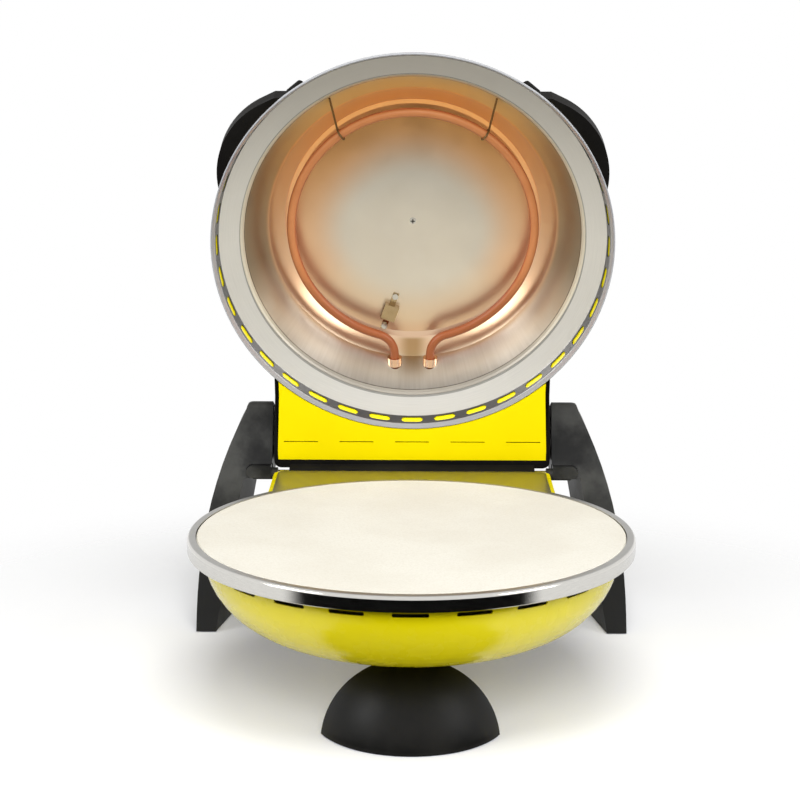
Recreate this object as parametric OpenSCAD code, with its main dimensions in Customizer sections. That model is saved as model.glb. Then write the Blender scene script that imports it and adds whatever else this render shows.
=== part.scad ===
// Electric pizza maker: a round clam-shell oven, drawn with its lid standing open.
// Every lid piece is drawn closed, over the base, and then swung open about the hinge.

/* [Rim and stone] */
// Height of the lower rim above the table
rim_z = 128; // [124:0.5:134]
// Outer diameter of the lower rim band
rim_d = 323; // [318:1:330]
// Height of the lower rim band
band_h = 11; // [8:0.5:14]
// Diameter of the baking stone
stone_d = 310; // [300:1:311]
// Thickness of the rim sheet
sheet_t = 1; // [0.8:0.1:1.2]

/* [Lower shell] */
// Radius of the bowl just under the band
bowl_r = 150; // [148:0.5:152]
// Radius of the bowl's flat bottom
bowl_flat_r = 80; // [70:1:90]
// Depth of the bowl under the band
bowl_depth = 60; // [54:0.5:62]
// Wall of the bowl
bowl_wall = 1.2; // [0.8:0.1:2]
// Number of slot places round the bowl
bowl_slots = 22; // [18:1:24]
// Length of a bowl slot
bowl_slot_l = 24.5; // [18:0.5:28]
// Height of a bowl slot
bowl_slot_h = 2.8; // [2:0.1:4]
// Half width of the rear neck
neck_half_w = 112.5; // [108:0.5:113]
// Rear face of the neck, behind the bowl's axis
neck_back = 188; // [184:0.5:188]
// Height of the neck's side walls
neck_h = 43; // [36:1:50]
// Wall of the neck
neck_wall = 3; // [2:0.1:3.5]

/* [Feet and stand] */
// Radius of the ball that the front foot is cut from
foot_r = 68.3; // [66:0.1:72]
// Distance of that ball's centre in front of the bowl's axis
foot_y = 46.3; // [44:0.1:50]
// Distance of the front foot's flat back in front of the bowl's axis
foot_cut = 72.8; // [70:0.1:78]
// Height of the rubber under the feet
pad_h = 0.8; // [0.5:0.1:1.5]
// Half width of the stand at the table
stand_half_w = 175.5; // [172:0.5:178]
// Height of the shoulders
shoulder_z = 179.5; // [176:0.5:184]
// How far the shoulders lean in from the stand's foot
shoulder_lean = 41; // [36:0.5:46]
// Front edge of the legs at the table, behind the bowl's axis
leg_front = 152; // [148:0.5:156]
// Slope of the legs' front face, backwards per unit of height
leg_slope = 0.354; // [0.3:0.002:0.4]
// Thickness of a leg's front face at the table
leg_w = 15.8; // [14:0.2:18]
// Depth of a leg at the table
leg_depth = 49; // [44:0.5:54]

/* [Hinge] */
// Hinge axis behind the bowl's axis
hinge_y = 197; // [196:0.5:199]
// Hinge axis below the rim
hinge_drop = 5; // [4:0.5:6]
// Angle from the closed lid to the open lid
open_angle = 74.3; // [0:0.1:74.3]
// Diameter of the hinge pins
pin_d = 6; // [5:0.5:7]
// Radial clearance of a pin in the lid's hinge barrel
pin_gap = 0.05; // [0.02:0.01:0.1]
// Diameter of the arms that hold the pins
arm_d = 10; // [9:0.5:10]
// Height of the closed lid over the lower rim
lid_gap = 0.3; // [0.2:0.1:0.6]

/* [Lid] */
// Outer diameter of the lid's lip
lip_d = 316.4; // [312:0.4:318]
// Depth of the slotted wall inside the lip
slot_wall_h = 18; // [16:0.5:20]
// Width of the wide satin ring between the slots and the heating chamber
ring_w = 16.3; // [14:0.5:20]
// Depth of the heating chamber's floor inside the lid
pot_depth = 63; // [60:0.5:64]
// Number of slots in the lid's wall
lid_slots = 36; // [30:1:40]
// Length of a lid slot
lid_slot_l = 17.5; // [14:0.5:20]
// Height of a lid slot
lid_slot_h = 6; // [4:0.5:7]
// Room between the heating chamber and the dome
dome_room = 13.2; // [12:0.2:18]
// Radius of the dome's flat top
dome_flat_r = 60; // [55:1:62]
// Wall of the dome
dome_wall = 0.6; // [0.5:0.1:0.8]

/* [Heaters] */
// Radius of the lid heater's ring
upper_heater_r = 97.5; // [92:0.5:100]
// Depth of the lid heater inside the lid
upper_heater_depth = 44.7; // [42:0.1:48]
// Radius of the lower heater's ring
lower_heater_r = 95; // [88:0.5:98]
// Height of the lower heater above the table
lower_heater_z = 94; // [90:0.5:98]
// Diameter of the heater tubes
tube_d = 7.2; // [6.5:0.1:8]
// Half distance between a heater's two ends
tube_leg_x = 14.8; // [12:0.1:18]
// Radius of the bends at a heater's ends
tube_bend_r = 18; // [14:0.5:20]

/* [Rear box] */
// Half width of the black housing
box_half_w = 113.8; // [113:0.1:114]
// Rear face of the housing, closed
box_back = 194.5; // [192:0.5:195]
// Height of the housing over the lid's lip
box_h = 59; // [52:0.5:62]
// Wall of the housing
box_wall = 2.5; // [2:0.1:3]
// Distance of the knobs and the lamp behind the bowl's axis
knob_y = 158; // [154:0.5:162]
// Sideways distance of the knobs
knob_x = 58; // [50:1:70]
// Diameter of a knob's skirt
knob_d = 38; // [32:0.5:42]
// Height of a knob
knob_h = 17; // [14:0.5:20]

/* [Handle] */
// Sideways distance of the ears' middle
ear_x = 125; // [122:1:128]
// Thickness of an ear
ear_h = 18; // [14:0.5:20]
// Diameter of the bow
bow_d = 13; // [11:0.5:14]
// Height of the bow's middle over the lid's lip
bow_rise = 97; // [90:1:100]

/* [Hidden] */
$fn = 96;

eps = 0.01;
big = 400;
rim_r = rim_d / 2;
stone_r = stone_d / 2;
lip_r = lip_d / 2;
hinge_z = rim_z - hinge_drop;
lip_z = rim_z + lid_gap;
band_z = rim_z - band_h;
bowl_top = band_z - 0.1;
bowl_bottom = bowl_top - bowl_depth;
neck_floor = rim_z - 1 - neck_h;
seat_z = band_z + sheet_t;
seat_r = 143;
stone_top = rim_z - 0.3;
arc_steps = 14;
shoulder_gap = box_half_w + 1.7;
corner_r = lip_r - 5.4;
corner_h = slot_wall_h - 4;
pot_r = corner_r - ring_w;
chamber_t = 0.8;
dome_h = pot_depth + chamber_t + dome_room;
knob_top = lip_z + box_h + 0.4 + knob_h;

// The whole oven is centred front to back, from the rim's front to the rear edge of a knob's grip.
grip_r = knob_d / 2 - 4;
rear_y = hinge_y + cos(open_angle) * (knob_y + grip_r - hinge_y)
    + sin(open_angle) * (knob_top - hinge_z);
mid_y = (rear_y - rim_r) / 2;

black = "#2b2a29";
steel = "#c9c9c6";
yellow = "#f4e11a";

// Puts a base piece in the oven's own frame.
module on_base() {
    translate([0, -mid_y, 0]) children();
}

// Swings a piece drawn closed to the open pose.
module swung() {
    translate([0, hinge_y, hinge_z])
        rotate([-open_angle, 0, 0])
            translate([0, -hinge_y, -hinge_z]) children();
}

// Puts a lid piece, drawn closed, in the oven's own frame with the lid open.
module on_lid() {
    on_base() swung() children();
}

// Points along a circular arc.
function arc(cx, cy, r, from, to, steps) =
    [for (i = [0:steps]) let (a = from + (to - from) * i / steps) [cx + r * cos(a), cy + r * sin(a)]];

// Points along a quarter of an ellipse that ends on a flat.
function quarter(flat, rx, top, depth, from, steps) =
    [for (i = [0:steps]) let (a = from + (90 - from) * i / steps) [flat + rx * cos(a), top + depth * sin(a)]];

// A rectangle in plan whose two rear corners are round.
module rear_rounded(half_w, front, back, r) {
    translate([-half_w, front]) square([2 * half_w, back - r - front]);
    translate([-half_w + r, front]) square([2 * (half_w - r), back - front]);
    for (side = [-1, 1]) translate([side * (half_w - r), back - r]) circle(r);
}

module both_sides() {
    children();
    mirror([1, 0, 0]) children();
}

// A rod along X between two places.
module rod_x(r, from, to, y, z) {
    translate([from, y, z]) rotate([0, 90, 0]) cylinder(r = r, h = to - from);
}

// A slot cutter with round ends, lying along X at the origin and pointing along Y.
module slot_cutter(length, height, depth) {
    cube([length - height, depth, height], center = true);
    for (side = [-1, 1])
        translate([side * (length - height) / 2, 0, 0])
            rotate([90, 0, 0]) cylinder(d = height, h = depth, center = true, $fn = 32);
}

// The solid that fills the bowl, drawn in by an inset and raised above its mouth.
module bowl_body(inset, rise) {
    rotate_extrude()
        polygon(concat(
            [[0, bowl_top + rise]],
            rise > 0 ? [[bowl_r - inset, bowl_top + rise]] : [],
            quarter(bowl_flat_r, bowl_r - inset - bowl_flat_r, bowl_top, -(bowl_depth - inset), 0, arc_steps),
            [[0, bowl_bottom + inset]]));
}

// The solid that fills the neck, drawn in by an inset.
module neck_body(inset, top) {
    front = 60;
    corner = 10;
    translate([0, 0, neck_floor + inset])
        linear_extrude(top - neck_floor - inset)
            rear_rounded(neck_half_w - inset, front, neck_back - inset, corner - inset);
}

// Pressed bowl and neck in one piece, open at the top, with slots round the front and sides.
module lower_shell() {
    slot_drop = 5.5;
    neck_top = rim_z - 0.8;
    bare_angle = 54;
    color(yellow) on_base() difference() {
        union() {
            bowl_body(0, 0);
            neck_body(0, neck_top);
        }
        bowl_body(bowl_wall, 1);
        neck_body(neck_wall, rim_z + 1);
        translate([0, 0, bowl_top]) cylinder(r = rim_r + 0.2, h = band_h + 2);
        for (i = [0:bowl_slots - 1]) {
            turn = i * 360 / bowl_slots;
            if (abs(turn - 180) > bare_angle)
                rotate([0, 0, turn]) translate([0, -bowl_r, band_z - slot_drop])
                    slot_cutter(bowl_slot_l, bowl_slot_h, 12);
        }
        foot_screw_places() cylinder(d = foot_screw_d + 0.4, h = 12, center = true, $fn = 32);
        beam_screw_places() cylinder(d = beam_screw_d + 0.4, h = 12, center = true, $fn = 32);
    }
}

// Polished band with its flat top, turned in below as the stone's seat, and the plate over the neck.
module lower_rim_ring() {
    t = sheet_t;
    wall_r = stone_r + 0.3;
    fold = 0.6;
    roll = 2.4;
    color(steel) on_base() difference() {
        union() {
            rotate_extrude()
                polygon(concat(
                    arc(rim_r - roll, rim_z - roll, roll, 0, 90, 6),
                    [[wall_r, rim_z], [wall_r, seat_z + fold], [wall_r + t, seat_z + fold],
                    [wall_r + t, rim_z - t], [rim_r - roll, rim_z - t]],
                    arc(rim_r - roll, rim_z - roll, roll - t, 60, 0, 3),
                    [[rim_r - t, seat_z], [seat_r, seat_z], [seat_r, band_z], [rim_r - fold, band_z],
                    [rim_r, band_z + fold]]));
            difference() {
                translate([0, 0, rim_z - t]) linear_extrude(t)
                    rear_rounded(neck_half_w - neck_wall - 0.2, 100, neck_back - neck_wall - 0.2, 7);
                translate([0, 0, rim_z - 2 * t]) cylinder(r = wall_r + t / 2, h = 4 * t);
            }
        }
        difference() {
            translate([-neck_half_w - 0.2, 90, band_z - 1])
                cube([2 * neck_half_w + 0.4, 90, band_h - t + 1]);
            cylinder(r = wall_r + t + 0.01, h = rim_z);
        }
    }
}

// Refractory disc with a small chamfer, lying on the seat.
module baking_stone() {
    r = stone_r - 0.2;
    bevel = 0.8;
    color("#efece0") on_base() rotate_extrude()
        polygon([[0, seat_z], [r - bevel, seat_z], [r, seat_z + bevel],
            [r, stone_top - bevel], [r - bevel, stone_top], [0, stone_top]]);
}

pan_z = lower_heater_z - 16;

// Shallow steel pan that turns the lower heater's heat up to the stone.
module reflector_pan() {
    t = 0.8;
    top = band_z - 0.1;
    floor_r = lower_heater_r + 17;
    edge_r = bowl_r - 10;
    flange_r = bowl_r - 2.6;
    color(steel) on_base() difference() {
        rotate_extrude()
            polygon([[flange_r, top], [edge_r, top], [floor_r, pan_z + t], [0, pan_z + t],
                [0, pan_z], [floor_r + 0.5, pan_z], [edge_r + 0.8, top - t], [flange_r, top - t]]);
        for (side = [-1, 1]) translate([side * tube_leg_x, edge_r - 8, lower_heater_z])
            rotate([90, 0, 0]) cylinder(d = tube_d + 1.5, h = 60, center = true, $fn = 48);
    }
}

// Tube ring that is open at the rear, where both ends bend outwards and run straight back.
// The bends are drawn down a little and lap into the ring and into the straight ends.
module tube_heater(ring_r, z, end_y) {
    bend_x = tube_leg_x + tube_bend_r;
    bend_y = sqrt(pow(ring_r + tube_bend_r, 2) - pow(bend_x, 2));
    meet = atan2(bend_y, bend_x);
    lap = 2;
    translate([0, 0, z]) {
        rotate([0, 0, 180 - meet])
            rotate_extrude(angle = 180 + 2 * meet) translate([ring_r, 0]) circle(d = tube_d, $fn = 24);
        both_sides() {
            translate([bend_x, bend_y, 0]) rotate([0, 0, 180 - lap])
                rotate_extrude(angle = meet + 2 * lap, $fn = 48)
                    translate([tube_bend_r, 0]) circle(d = tube_d - 0.2, $fn = 24);
            translate([tube_leg_x, bend_y, 0])
                rotate([-90, 0, 0]) cylinder(d = tube_d, h = end_y - bend_y, $fn = 24);
        }
    }
}

heater_end_y = neck_back - 36;
module lower_heater() {
    color("#6b625c") on_base() tube_heater(lower_heater_r, lower_heater_z, heater_end_y);
}

// Three upright straps on the pan that hold the lower heater.
module heater_clips() {
    floor_z = pan_z + 0.8;
    color(steel) on_base() for (turn = [30, 150, 270])
        rotate([0, 0, turn]) difference() {
            translate([lower_heater_r - 7, -0.6, floor_z]) cube([14, 1.2, lower_heater_z + 7 - floor_z]);
            translate([lower_heater_r, 0, lower_heater_z])
                rotate([90, 0, 0]) cylinder(d = tube_d + 0.1, h = 10, center = true, $fn = 48);
        }
}

// Ceramic block on the neck's floor where the lower heater is wired.
module terminal_block() {
    depth = 20;
    half_w = 30;
    top = lower_heater_z + 11;
    low = neck_floor + neck_wall;
    color("#e9e4d6") on_base() difference() {
        translate([-half_w, heater_end_y, low]) cube([2 * half_w, depth, top - low]);
        for (x = [-22, -7, 7, 22]) translate([x, heater_end_y + depth / 2, top - 6]) cylinder(d = 5, h = 10, $fn = 32);
    }
}

foot_screw_d = 5;
foot_tongue = 34;
foot_screw_y = -foot_cut + foot_tongue / 2;
foot_solid = 14;
module foot_screw_places() {
    for (side = [-1, 1]) translate([side * 12, foot_screw_y, bowl_bottom]) children();
}

// Half dome: a ball cut flat behind and at the table, hollow below, with a tongue under the bowl.
module front_foot() {
    centre_z = bowl_bottom - 62.75;
    wall = 5;
    tongue_half_w = 24;
    color(black) on_base() difference() {
        union() {
            intersection() {
                translate([0, -foot_y, centre_z]) sphere(r = foot_r);
                translate([-foot_r, -foot_y - foot_r, pad_h]) cube([2 * foot_r, foot_y + foot_r - foot_cut, 90]);
            }
            translate([0, 0, bowl_bottom - foot_solid]) linear_extrude(foot_solid - 0.1)
                rear_rounded(tongue_half_w, -foot_cut - 1, -foot_cut + foot_tongue, 8);
        }
        intersection() {
            translate([0, -foot_y, centre_z]) sphere(r = foot_r - wall);
            translate([-foot_r, -foot_y - foot_r, -1])
                cube([2 * foot_r, foot_y + foot_r - foot_cut - wall, bowl_bottom - foot_solid + 1]);
        }
        bowl_body(-0.1, 0);
        foot_screw_places() cylinder(d = foot_screw_d + 0.2, h = 60, center = true, $fn = 32);
        foot_screw_places() translate([0, 0, -foot_solid - 20]) cylinder(d = 10, h = 20, $fn = 48);
        front_pad_strip(0.05);
    }
}

// The curved strip of rubber let into the foot's edge.
module front_pad_strip(gap) {
    outer = foot_r - 1.7;
    width = 3.4;
    span = 64;
    translate([0, -foot_y, 0]) rotate([0, 0, 270 - span])
        rotate_extrude(angle = 2 * span)
            translate([outer - width - gap, 0]) square([width + 2 * gap, 2.4 + gap]);
}

module front_foot_pad() {
    color("#111111") on_base() front_pad_strip(0);
}

// Two screws up through the foot into the bowl, each with a nut inside the bowl.
module foot_screws() {
    color(steel) on_base() {
        foot_screw_places() {
            translate([0, 0, -foot_solid - 3]) cylinder(d = 9, h = 3, $fn = 48);
            translate([0, 0, -foot_solid - 3]) cylinder(d = foot_screw_d, h = foot_solid + 10, $fn = 48);
        }
        intersection() {
            foot_screw_places() cylinder(d = 9, h = bowl_wall + 4.5, $fn = 6);
            bowl_body(bowl_wall + 0.05, 0);
        }
    }
}

// Everything between the legs' inner faces, drawn in by a gap. The faces turn and lean.
leg_turn = 10.2;
leg_lean = 6.07;
leg_reach = (stand_half_w - leg_w + leg_front * tan(leg_turn)) * cos(leg_turn) * cos(leg_lean);
module between_legs(gap) {
    intersection_for(side = [0, 1])
        mirror([side, 0, 0])
            rotate([0, -leg_lean, leg_turn])
                translate([leg_reach - gap - 2 * big, -big, -big]) cube(2 * big);
}

// One leg with its shoulder: a front view and a side view cut into each other.
ledge_h = 11;
ledge_z = hinge_z + 2 - ledge_h / 2;
ledge_back = hinge_y + 9;
ledge_end = shoulder_gap + 21.5;
leg_back = leg_front + leg_depth;
module leg() {
    base = pad_h;
    corner = 6;
    lean_power = 2.43;
    curve_steps = 12;
    lean_top = shoulder_z - corner;
    outer_top = stand_half_w - shoulder_lean + 3;
    front_top = leg_front + leg_slope * shoulder_z;
    difference() {
        intersection() {
            translate([0, big, 0]) rotate([90, 0, 0]) linear_extrude(big)
                polygon(concat(
                    [[shoulder_gap, base]],
                    [for (i = [0:curve_steps]) let (z = base + (lean_top - base) * i / curve_steps)
                        [stand_half_w - (stand_half_w - outer_top) * pow(z / lean_top, lean_power), z]],
                    arc(outer_top - corner, lean_top, corner, 0, 90, 5),
                    [[shoulder_gap, shoulder_z]]));
            translate([0, 0, 0]) rotate([90, 0, 90]) linear_extrude(stand_half_w + 1)
                polygon([
                    [leg_front + leg_slope * base, base], [front_top - 0.9, shoulder_z - 2.5],
                    [front_top + 0.4, shoulder_z - 0.7], [front_top + 2.5, shoulder_z],
                    [leg_back + 42, shoulder_z - 9], [leg_back + 53, shoulder_z - 17],
                    [leg_back + 58, shoulder_z - 30], [leg_back + 45, ledge_z], [leg_back, base]]);
        }
        intersection() {
            between_legs(0);
            translate([0, 0, ledge_z - big]) cube(big);
        }
        ledge_hollow(0);
    }
}

// The hollow in a shoulder's front that holds a hinge arm, drawn in by a gap.
module ledge_hollow(gap) {
    r = ledge_h / 2;
    translate([0, ledge_back, ledge_z + r]) rotate([90, 0, 0]) {
        translate([ledge_end - r, 0, gap ? 0.05 : 0]) cylinder(r = r - gap, h = 60, $fn = 48);
        translate([shoulder_gap - 10, -r + gap, 0]) cube([ledge_end - r - shoulder_gap + 10, 2 * (r - gap), 60]);
    }
}

module right_leg() {
    color(black) on_base() leg();
}

module left_leg() {
    color(black) on_base() mirror([1, 0, 0]) leg();
}

// Rubber under both legs.
module leg_pads() {
    inset = 2.5;
    front = leg_front + inset;
    back = leg_back - inset;
    outer = stand_half_w - inset - 0.5;
    inner = stand_half_w - leg_w + inset;
    color("#111111") on_base() both_sides() linear_extrude(pad_h)
        polygon([[inner, front], [outer, front], [outer, back], [inner - (back - front) * tan(leg_turn), back]]);
}

beam_screw_d = 5;
beam_screw_z = neck_floor + 15;
module beam_screw_places() {
    for (share = [-0.71, -0.27, 0.27, 0.71])
        translate([share * neck_half_w, neck_back - neck_wall / 2, beam_screw_z]) rotate([90, 0, 0]) children();
}

beam_front = neck_back + 5;
beam_back = beam_front + 33;
beam_high = neck_floor + 4;
beam_low = beam_high - 42;
gland_x = 60;
gland_z = beam_high - 22;
gland_r = 4;

// Channel between the legs, open below, with a plate that is screwed to the neck.
module cross_beam() {
    wall = 3;
    plate_half_w = neck_half_w - 20.5;
    plate_front = neck_back + 0.1;
    side_wall = 9;
    channel_half = stand_half_w - leg_w - beam_back * tan(leg_turn) + leg_front * tan(leg_turn) - side_wall;
    color(black) on_base() difference() {
        union() {
            intersection() {
                difference() {
                    translate([-stand_half_w, beam_front, beam_low])
                        cube([2 * stand_half_w, beam_back - beam_front, beam_high - beam_low]);
                    translate([-channel_half, beam_front + wall, beam_low - 1])
                        cube([2 * channel_half, beam_back - beam_front - 2 * wall, beam_high - beam_low + 1 - wall]);
                }
                between_legs(0.05);
            }
            translate([-plate_half_w, plate_front, beam_low + 16])
                cube([2 * plate_half_w, beam_front + 0.5 - plate_front, beam_screw_z + 13 - beam_low - 16]);
        }
        beam_screw_places() cylinder(d = beam_screw_d, h = 40, center = true, $fn = 48);
        translate([gland_x, beam_back, gland_z]) rotate([90, 0, 0]) cylinder(d = 12.1, h = 20, center = true);
    }
}

// Four screws from inside the neck into the beam's plate.
module beam_screws() {
    color(steel) on_base() beam_screw_places() {
        translate([0, 0, neck_wall / 2]) cylinder(d = 9, h = 3, $fn = 48);
        translate([0, 0, -9]) cylinder(d = beam_screw_d, h = 9 + neck_wall / 2, $fn = 48);
    }
}

// Collar in the beam's back where the cord would come out.
module cord_gland() {
    color("#111111") on_base() translate([gland_x, beam_back + 3, gland_z]) rotate([90, 0, 0]) difference() {
        union() {
            cylinder(d = 20, h = 3);
            cylinder(d = 12, h = 9);
        }
        translate([0, 0, -1]) cylinder(r = gland_r, h = 11);
    }
}

pin_start = box_half_w - 27.8;
pin_end = ledge_end - 8;

// Two arms that sit in the shoulders' hollows and hold the pins.
module hinge_arms() {
    tip_x = box_half_w - 3.2;
    body_x = shoulder_gap + 0.7;
    color(black) on_base() both_sides() difference() {
        union() {
            rod_x(arm_d / 2, tip_x, ledge_end - ledge_h / 2 - 0.4, hinge_y, hinge_z);
            intersection() {
                ledge_hollow(0.4);
                translate([body_x, hinge_y - arm_d / 2, ledge_z])
                    cube([ledge_end - body_x, ledge_back - hinge_y + arm_d, ledge_h]);
            }
        }
        rod_x(pin_d / 2, tip_x - 1, pin_end, hinge_y, hinge_z);
    }
}

module hinge_pins() {
    color(steel) on_base() both_sides() rod_x(pin_d / 2, pin_start, pin_end, hinge_y, hinge_z);
}

// Two rubber blocks inside the shoulders that the open lid's box leans on.
module lid_stops() {
    color("#111111") on_base() swung() both_sides()
        translate([box_half_w - 8, box_back + 0.1, lip_z + 27.7]) cube([shoulder_gap + 7.9 - box_half_w, 6.4, 14]);
}

// The solid that fills the dome, grown by a gap. Its flank clears the ring's corner.
ring_t = 0.7;
dome_centre = -12;
dome_edge = 5.5;
dome_gap = 0.3;
dome_turn = asin((corner_h + ring_t - dome_centre) / (dome_h - dome_centre - dome_wall));
dome_rx = (corner_r + 0.5 + dome_gap - dome_flat_r) / cos(dome_turn) + dome_wall;
module dome_body(gap) {
    start = asin((dome_edge - dome_centre) / (dome_h - dome_centre));
    translate([0, 0, lip_z]) rotate_extrude()
        polygon(concat(
            [[0, dome_edge]],
            quarter(dome_flat_r, dome_rx + gap, dome_centre, dome_h - dome_centre + gap, start, arc_steps + 4),
            [[0, dome_h + gap]]));
}

// Yellow dome with a window at the rear that leads into the box.
module upper_shell() {
    color(yellow) on_lid() difference() {
        dome_body(0);
        difference() {
            dome_body(-dome_wall);
            translate([0, 0, lip_z + dome_h - dome_wall]) cylinder(r = big, h = 10);
        }
        translate([0, 0, lip_z + dome_edge - 1]) cylinder(r = pot_r, h = 2);
        translate([-38, 100, lip_z + 22]) cube([76, 60, 26]);
        handle_screw_places() translate([0, 0, -10]) cylinder(d = 4.4, h = 30, $fn = 32);
    }
}

// Steel ring with its rolled lip, the slotted wall and the wide ring, pressed from one sheet.
module upper_rim_ring() {
    t = ring_t;
    slot_mid = slot_wall_h - 8.7;
    color(steel) on_lid() difference() {
        translate([0, 0, lip_z]) rotate_extrude($fn = 180)
            polygon([
                [lip_r - 1.2, 0], [lip_r - 3, 3.2], [corner_r, corner_h], [pot_r, slot_wall_h + 0.8],
                [pot_r, slot_wall_h + 1.5], [corner_r + 0.5, corner_h + t], [lip_r - 2.3, 3.6],
                [lip_r - 0.8, 3.4], [lip_r, 2.6], [lip_r, 0.8], [lip_r - 0.6, 0]]);
        for (i = [0:lid_slots - 1]) rotate([0, 0, i * 360 / lid_slots])
            translate([0, corner_r + 1.2, lip_z + slot_mid]) slot_cutter(lid_slot_l, lid_slot_h, 10);
    }
}

// The chamber's wall: its mouth, its bend and its floor, and its radius at a height over the lip.
mouth_h = slot_wall_h + 1.6;
mouth_r = pot_r - 1.6;
chamber_bend_r = pot_r - 20.9;
chamber_bend_h = pot_depth - 13.1;
function wall_at(h) =
    chamber_bend_r + (mouth_r - chamber_bend_r) * (chamber_bend_h - h) / (chamber_bend_h - mouth_h - 1.2);

// Deep conical pan of the lid, with a bright rolled edge at its mouth.
module heating_chamber() {
    t = chamber_t;
    floor_r = pot_r - 34.5;
    bend_r = chamber_bend_r;
    bend_h = chamber_bend_h;
    color(steel) on_lid() difference() {
        translate([0, 0, lip_z]) rotate_extrude($fn = 180)
            polygon([
                [0, pot_depth], [floor_r - 3, pot_depth], [floor_r + 1, pot_depth - 1.4], [bend_r, bend_h],
                [mouth_r, mouth_h + 1.2], [pot_r - 0.2, mouth_h], [pot_r + 9.5, mouth_h - 2.66],
                [pot_r + 9.5, mouth_h - 1.86], [pot_r, mouth_h + 1], [bend_r + 0.7, bend_h + 0.5],
                [floor_r + 1.5, pot_depth - 0.8], [floor_r - 2.8, pot_depth + t], [0, pot_depth + t]]);
        for (side = [-1, 1]) translate([side * tube_leg_x, ferrule_y, lip_z + upper_heater_depth])
            rotate([90, 0, 0]) cylinder(d = ferrule_d + 0.2, h = 30, center = true, $fn = 48);
        translate([0, 0, lip_z + pot_depth - 1]) cylinder(d = screw_d + 0.2, h = 4, $fn = 32);
        clip_screw_places() cylinder(d = screw_d + 0.2, h = 10, center = true, $fn = 32);
        translate(capillary_way[1]) cylinder(d = 2.2, h = 12, center = true, $fn = 32);
    }
}

module upper_heater() {
    color("#c8694a") on_lid() tube_heater(upper_heater_r, lip_z + upper_heater_depth, ferrule_y + 6);
}

ferrule_d = 12;
ferrule_y = wall_at(upper_heater_depth) + 2;

// Collars round the heater's two ends where they go through the chamber's wall.
module heater_ferrules() {
    color(steel) on_lid() both_sides()
        translate([tube_leg_x, ferrule_y, lip_z + upper_heater_depth]) rotate([90, 0, 0]) difference() {
            cylinder(d = ferrule_d, h = 7);
            translate([0, 0, -1]) cylinder(d = tube_d, h = 9);
        }
}

// A round rod between two points.
module rod(from, to, r) {
    d = to - from;
    translate(from) rotate([0, acos(d[2] / norm(d)), atan2(d[1], d[0])])
        cylinder(r = r, h = norm(d), $fn = 24);
}

// Two wire hooks that hold the heater to the chamber's wall, opposite its ends.
module heater_hooks() {
    wire_r = 0.8;
    turn = 35.5;
    swerve = 6.5;
    hook_h = mouth_h + 3.4;
    loop_r = tube_d / 2 + wire_r;
    z = lip_z + upper_heater_depth;
    far_r = wall_at(hook_h) - 1.4;
    color(steel) on_lid() for (side = [-1, 1]) rotate([0, 0, -90 + side * turn]) {
        translate([upper_heater_r, 0, z]) rotate([90, 0, 0])
            rotate_extrude($fn = 48) translate([loop_r, 0]) circle(r = wire_r, $fn = 24);
        rod([upper_heater_r + loop_r, 0, z - 1],
            [far_r * cos(swerve), -side * far_r * sin(swerve), lip_z + hook_h], wire_r);
    }
}

screw_d = 3;
clip_at = [-18.9, 80.1];
clip_turn = 19.2;
clip_reach = 14;
module clip_screw_places() {
    translate([clip_at[0], clip_at[1], lip_z + pot_depth]) rotate([0, 0, clip_turn])
        for (side = [-1, 1]) translate([0, side * clip_reach, 0]) children();
}

// Bridge of sheet steel on the chamber's floor that holds the sensor.
module sensor_clip() {
    w = 12;
    t = 0.8;
    bridge_l = 13.5;
    bridge_h = 2 * sensor_r + t;
    strap_w = 5;
    color(steel) on_lid() difference() {
        translate([clip_at[0], clip_at[1], lip_z + pot_depth]) rotate([0, 0, clip_turn]) difference() {
            union() {
                translate([-w / 2, -bridge_l / 2, -bridge_h]) cube([w, bridge_l, bridge_h]);
                translate([-strap_w / 2, -clip_reach - 3, -t]) cube([strap_w, 2 * clip_reach + 6, t]);
            }
            translate([-w, -bridge_l / 2 + t, -bridge_h + t]) cube([2 * w, bridge_l - 2 * t, bridge_h]);
        }
        clip_screw_places() cylinder(d = screw_d + 0.2, h = 10, center = true, $fn = 32);
    }
}

module clip_screws() {
    color(steel) on_lid() clip_screw_places() {
        translate([0, 0, -2.4]) cylinder(d = 5, h = 1.6, $fn = 32);
        translate([0, 0, -2.4]) cylinder(d = screw_d, h = 6, $fn = 32);
    }
}

sensor_r = 2.6;
sensor_from = -3.4;
sensor_to = 5.6;
sensor_z = lip_z + pot_depth - sensor_r;

// The sensor's bulb lies under the clip, on the floor.
module sensor_bulb() {
    color("#b98b5e") on_lid() translate([clip_at[0], clip_at[1], sensor_z]) rotate([0, 0, clip_turn])
        translate([sensor_from, 0, 0]) rotate([0, 90, 0])
            cylinder(r = sensor_r, h = sensor_to - sensor_from, $fn = 48);
}

// Thin tube from the bulb up through the floor and back into the box, to the thermostat.
function by_clip(along) = [clip_at[0] + along * cos(clip_turn), clip_at[1] + along * sin(clip_turn)];
capillary_run_z = lip_z + pot_depth + chamber_t + 1.6;
capillary_way = [
    concat(by_clip(sensor_from), sensor_z), concat(by_clip(sensor_from - 1.4), sensor_z),
    concat(by_clip(sensor_from - 1.4), capillary_run_z), [-34, 98, capillary_run_z],
    [-34, 136, lip_z + pot_depth - 27], [-knob_x + 17.7, knob_y - 8, lip_z + pot_depth - 27]];

module sensor_capillary() {
    r = 0.8;
    color("#b98b5e") on_lid() {
        for (i = [0:len(capillary_way) - 2]) rod(capillary_way[i], capillary_way[i + 1], r);
        for (i = [1:len(capillary_way) - 2])
            translate(capillary_way[i]) rotate([0, 90, 0])
                cylinder(r = r + 0.35, h = 2 * r + 0.5, center = true, $fn = 32);
    }
}

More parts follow.
